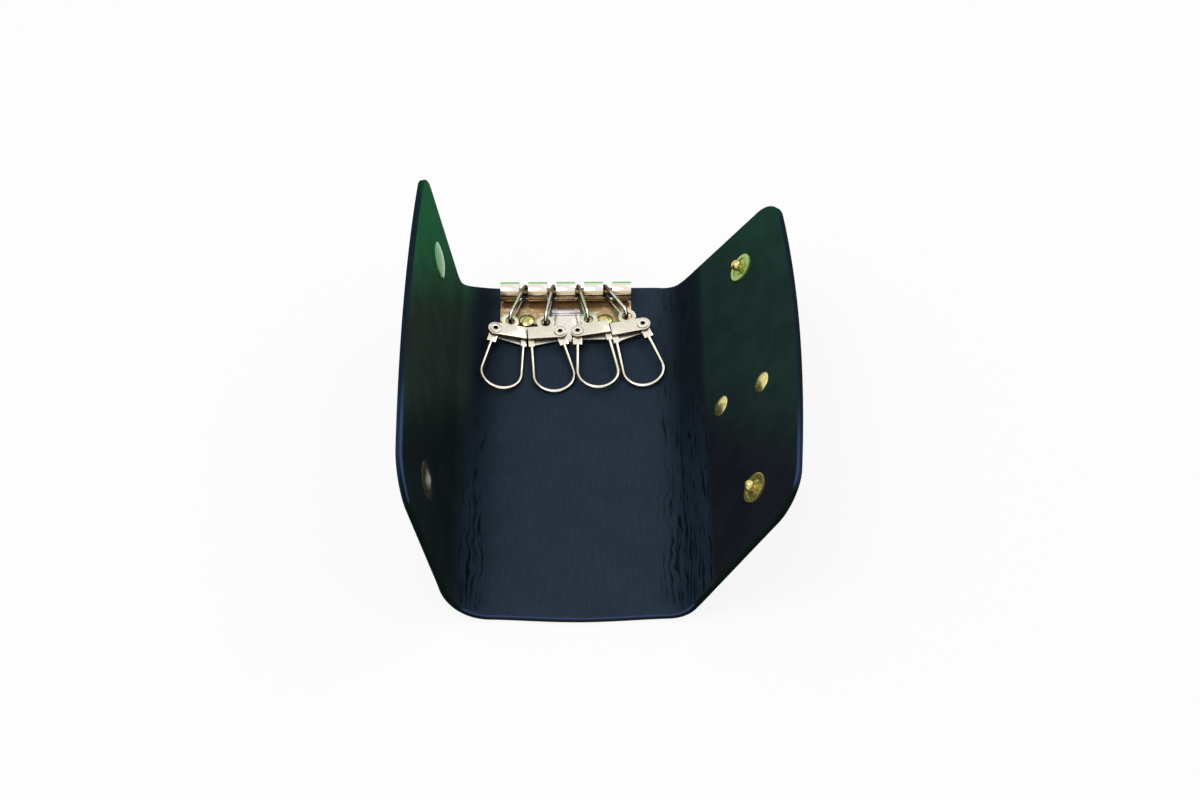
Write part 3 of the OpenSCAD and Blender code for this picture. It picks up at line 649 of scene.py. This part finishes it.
def dressed(node, softened, material):
    """A CAD part's copy with its sharp edges broken, as tumbling leaves them, and its own finish."""
    bm = bmesh.new()
    bm.from_mesh(frame["nodes"][node].data)
    bmesh.ops.remove_doubles(bm, verts=bm.verts, dist=0.002 * MM)
    bmesh.ops.dissolve_limit(bm, angle_limit=math.radians(1.0), verts=bm.verts[:], edges=bm.edges[:])
    sharp = [e for e in bm.edges if e.is_manifold and e.calc_face_angle(0.0) > math.radians(BROKEN_OVER)]
    if sharp:
        bmesh.ops.bevel(bm, geom=sharp, offset=softened * MM, segments=2, profile=0.5, affect="EDGES",
                        clamp_overlap=True, material=-1)
    bmesh.ops.triangulate(bm, faces=[f for f in bm.faces if len(f.verts) > 4])
    piece = new_piece(node + "_dressed", bm, METAL_SHARP, material)
    # How far each corner faces LIT_FROM, for the metal's painted shade.
    facing = piece.data.attributes.new("facing", "FLOAT", "CORNER")
    facing.data.foreach_set("value", [corner.vector.dot(LIT_FROM) for corner in piece.data.corner_normals])
    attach(piece, BODY_OF[node])
    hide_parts(node)


FRONT_Y = (51.0, 51.2, 53.9, 54.1)
PLATE_Y = (44.0, 45.5, 51.2, 51.6)
PLATE_Z = (1.6, 1.8, 2.15, 2.2)
PLATE_END_Y = (42.8, 43.8, 46.0, 46.8)
# A painted green reflection along the knuckles' top, painted light and dark reflected bands down their front,
# painted shade in the trough under them, a painted darker reflection on the plate beside the pad, a painted
# highlight on the pad's lip with a painted shade line under it, and a painted green reflection at the plate's
# end.
BAR_PAINTED_LIGHT = [
    painted_light("5cc05c", y=(55.9, 56.1, 57.2, 57.6), z=(5.9, 6.1, 8.0, 9.0)),
    painted_light("e3cda6", y=FRONT_Y, z=(5.8, 6.0, 6.5, 6.7)),
    painted_light("5c452c", y=FRONT_Y, z=(5.25, 5.4, 5.65, 5.8)),
    painted_light("cfa868", y=FRONT_Y, z=(4.35, 4.5, 5.1, 5.25)),
    painted_light("5a4126", y=FRONT_Y, z=(3.75, 3.9, 4.25, 4.4)),
    painted_light("f2dca4", y=FRONT_Y, z=(2.4, 2.5, 3.55, 3.7)),
    painted_light("8a6a4c", y=(50.6, 51.2, 54.2, 54.8), z=(1.0, 1.2, 2.2, 2.3), patchy=(0.25, 0.4)),
    painted_light("b8996a", x=(-24.6, -24.4, -8.9, -8.5), y=PLATE_Y, z=PLATE_Z, patchy=(0.2, 0.55)),
    painted_light("b8996a", x=(0.1, 0.5, 16.4, 16.6), y=PLATE_Y, z=PLATE_Z, patchy=(0.2, 0.55)),
    painted_light("fbf7ff", x=(-8.4, -8.2, -0.2, 0.0), y=(48.2, 48.4, 50.4, 50.8)),
    painted_light("8f8170", x=(-8.2, -8.0, -0.4, -0.2), y=(47.9, 48.0, 48.2, 48.3)),
    painted_light("93b474", x=(-24.0, -22.0, -11.5, -9.5), y=PLATE_END_Y, patchy=(0.44, 0.6)),
    painted_light("93b474", x=(0.5, 2.0, 13.0, 15.0), y=PLATE_END_Y, patchy=(0.44, 0.6)),
]
pale = metal("pale gold plating", ("f3eee8", "e2d9c8", "5a4c36"), (-0.1, 0.3), (0.14, 0.24), BAR_PAINTED_LIGHT)
dressed("key_bar", 0.06, pale)

# Rod: a brass pin through the five knuckles, with a plug on each end. It shows only in the gaps, where it is
# painted brown and dark for the shade there.
rod_metal = metal("brown shaded brass", ("a98d6a", "5e4a34", "3d3020"), (0.2, 0.7), (0.25, 0.4))
dressed("bar_rod", 0.08, rod_metal)

# Plate rivets: two domed brass rivets hold the plate on the lining. Their washers are let into the
# leather under it.
# Patches of painted green reflection on the rivets.
RIVET_PAINTED_REFLECTION = [painted_light("9cb56a", y=(44.0, 45.0, 60.0, 62.0), patchy=(0.5, 0.66))]
rivet_metal = metal("yellow gold plating", ("ecdc9c", "b59c55", "6d6a34"), (0.3, 0.8), (0.12, 0.2),
                    RIVET_PAINTED_REFLECTION)
dressed("bar_rivets", 0.05, rivet_metal)

# Links: four long loops of round plated wire hang from the rod, one in each gap of the barrel. The wire is
# painted darker as shade where it runs round the rod, with patches of painted green reflection lower down.
LINK_PAINTED_LIGHT = [painted_light("6c5a42", y=(52.0, 53.5, 60.0, 62.0)),
             painted_light("7cc06c", y=(46.5, 48.0, 50.5, 51.5), patchy=(0.5, 0.66))]
wire = metal("pale gold wire", ("fffaf0", "ece4d2", "665d3c"), (0.6, 0.95), (0.1, 0.18), LINK_PAINTED_LIGHT)
for k in range(1, 5):
    dressed(f"link_{k}", 0.03, wire)

# Hooks: a stamped brass head with its ear, a spring leaf under it and an eyelet through both. A bow of
# wire turns on the eyelet and snaps shut on the leaf.
# Patches of painted green reflection on the heads near their ears.
HEAD_PAINTED_REFLECTION = [painted_light("9cc482", y=(41.6, 43.4, 47.0, 48.0), patchy=(0.46, 0.64))]
stamped = metal("pale gold stamping", ("e9e4d6", "d8cfba", "5e5238"), (0.54, 0.76), (0.28, 0.38), HEAD_PAINTED_REFLECTION)
bow_metal = metal("pale gold bow wire", ("fffaee", "e8dec8", "6a633e"), (0.6, 0.95), (0.1, 0.2))
for k in range(1, 5):
    dressed(f"hook_{k}_head", 0.07, stamped)
    dressed(f"hook_{k}_spring", 0.05, stamped)
    dressed(f"hook_{k}_eyelet", 0.06, bow_metal)
    dressed(f"bow_{k}", 0.08, bow_metal)

# Snaps, pressed from gold-plated brass: domed caps and sockets on the left flap, ringed studs and
# their backs on the right flap. Each pair is riveted through the leather.
FAR_Y = (-8.0, 30.0, 70.0, 80.0)
NEAR_Y = (-70.0, -60.0, -20.0, -10.0)
STUD_RING_Z = (-40.0, -39.0, -19.9, -19.6)
# On the caps: a painted green reflection on the far cap, a painted dark reflection on the near cap, and a
# painted highlight at its upper edge.
CAP_PAINTED_LIGHT = [painted_light("4f9a52", y=FAR_Y, patchy=(0.12, 0.4)),
            painted_light("45442c", y=NEAR_Y),
            painted_light("e4e1d2", y=(-44.4, -40.9, -40.7, -37.4), z=(30.4, 33.0, 33.2, 35.8))]
cap_metal = metal("gold caps painted with reflections", ("dccb86", "b29e52", "6b642c"), (-0.6, 0.2), (0.12, 0.2), CAP_PAINTED_LIGHT)
dressed("left_snap_caps", 0.06, cap_metal)
# On the studs' rings: a painted olive reflection on the near stud and a painted green reflection on the far
# one.
STUD_PAINTED_REFLECTION = [painted_light("8a8a42", y=NEAR_Y, z=STUD_RING_Z, patchy=(0.3, 0.6)),
             painted_light("8ab04a", y=FAR_Y, z=STUD_RING_Z, patchy=(0.0, 0.25))]
stud_metal = metal("gold studs painted with reflections", ("e2cf88", "b8a256", "77702f"), (-0.6, 0.2), (0.14, 0.22), STUD_PAINTED_REFLECTION,
                   RIGHT["lean"])
dressed("right_snap_studs", 0.06, stud_metal)
back_metal = metal("plain gold plating", ("dccb8c", "bba968", "8a7c44"), (-0.9, 0.0), (0.14, 0.24))
for node in ("left_snap_sockets", "right_snap_posts"):
    dressed(node, 0.06, back_metal)

# Flap rivets: two small rivets of gold-plated brass through the right flap, domed inside and out. The
# leather stands up a little round them.
# Patches of painted olive-green reflection on the rivets.
FLAP_RIVET_PAINTED_REFLECTION = [painted_light("8f9a54", y=(-60.0, -50.0, 60.0, 70.0), patchy=(0.5, 0.65))]
flap_rivet_metal = metal("gold rivets painted with reflection", ("eadc9a", "cdbb70", "6f7a3c"), (0.3, 0.75), (0.18, 0.28),
                         FLAP_RIVET_PAINTED_REFLECTION)
for node in ("right_rivet_caps", "right_rivet_backs"):
    dressed(node, 0.05, flap_rivet_metal)

# Floor: a plain pale sheet just under the case. The camera and mirrors see it white, with the soft
# shadow of the case on it.
FLOOR_HALF = 4.0
FLOOR_GAP = 0.05
FLOOR_TONE = 0.88
FLOOR_SEEN = 0.88


def seen_directly(tree):
    """1 for what the camera sees, straight or in metal and glass, and 0 for what lights the object."""
    path = add(tree, "ShaderNodeLightPath")
    seen = maths(tree, "MAXIMUM", path.outputs["Is Camera Ray"], path.outputs["Is Glossy Ray"])
    return maths(tree, "MAXIMUM", seen, path.outputs["Is Transmission Ray"])


bm = bmesh.new()
bmesh.ops.create_grid(bm, x_segments=1, y_segments=1, size=FLOOR_HALF)
bmesh.ops.translate(bm, verts=bm.verts, vec=(0, 0, -FLOOR_GAP * MM))
mesh = bpy.data.meshes.new("floor")
bm.to_mesh(mesh)
bm.free()
floor = bpy.data.objects.new("floor", mesh)
bpy.context.scene.collection.objects.link(floor)
floor_paint, tree, shader = new_material("floor white")
shader.inputs["Base Color"].default_value = (FLOOR_TONE, FLOOR_TONE, FLOOR_TONE, 1)
shader.inputs["Roughness"].default_value = 0.9
glow = add(tree, "ShaderNodeEmission", Color=(1, 1, 1, 1), Strength=1.0).outputs[0]
share = maths(tree, "MULTIPLY", seen_directly(tree), FLOOR_SEEN)
blended = add(tree, "ShaderNodeMixShader", Fac=share, i1=shader.outputs[0], i2=glow).outputs[0]
tree.links.new(blended, tree.nodes["Material Output"].inputs["Surface"])
mesh.materials.append(floor_paint)

# Light: a white room and two large soft lamps above, one to the near left and a weaker one to the
# far right. The room is dimmer as a light than it looks.
ROOM_LIGHT = 0.6
ROOM_SEEN = 1.0
world = bpy.data.worlds.new("room")
bpy.context.scene.world = world
world.use_nodes = True
tree = world.node_tree
room = tree.nodes["Background"]
room.inputs["Color"].default_value = (1, 1, 1, 1)
tree.links.new(spread(tree, seen_directly(tree), ROOM_LIGHT, ROOM_SEEN), room.inputs["Strength"])


def lamp(name, place, aim, size, power):
    data = bpy.data.lights.new(name, "AREA")
    data.shape = "DISK"
    data.size = size
    data.energy = power
    made = bpy.data.objects.new(name, data)
    made.location = place
    made.rotation_euler = (Vector(aim) - Vector(place)).to_track_quat("-Z", "Y").to_euler()
    bpy.context.scene.collection.objects.link(made)


lamp("key lamp", place=(-0.25, -0.15, 0.75), aim=(0, 0, 0), size=0.45, power=2.1)
lamp("fill lamp", place=(0.45, 0.35, 0.7), aim=(0, 0, 0.02), size=0.5, power=1.2)

# Camera: the photograph's own place and angle, worked out from the case's outline. Its place is in
# millimetres, and its focal length in the photograph's pixels.
FOCAL_PX = 2470.4
PHOTO_W = 1200
SENSOR_W = 36.0
CAMERA_AT = Vector((5.3446, -451.6888, 500.5889))
CAMERA_RIGHT = Vector((0.99998336, -0.00429219, -0.00385399))
CAMERA_AHEAD = Vector((0.000120845, 0.683544498, -0.729908833))
data = bpy.data.cameras.new("camera")
data.sensor_width = SENSOR_W
data.lens = FOCAL_PX / PHOTO_W * SENSOR_W
data.clip_start = 0.01
data.clip_end = 20.0
camera = bpy.data.objects.new("camera", data)
turn = Matrix((CAMERA_RIGHT, CAMERA_RIGHT.cross(CAMERA_AHEAD), -CAMERA_AHEAD)).transposed().to_4x4()
camera.matrix_world = Matrix.Translation(CAMERA_AT * MM) @ turn
bpy.context.scene.collection.objects.link(camera)
bpy.context.scene.camera = camera
bpy.context.scene.view_settings.view_transform = "Standard"
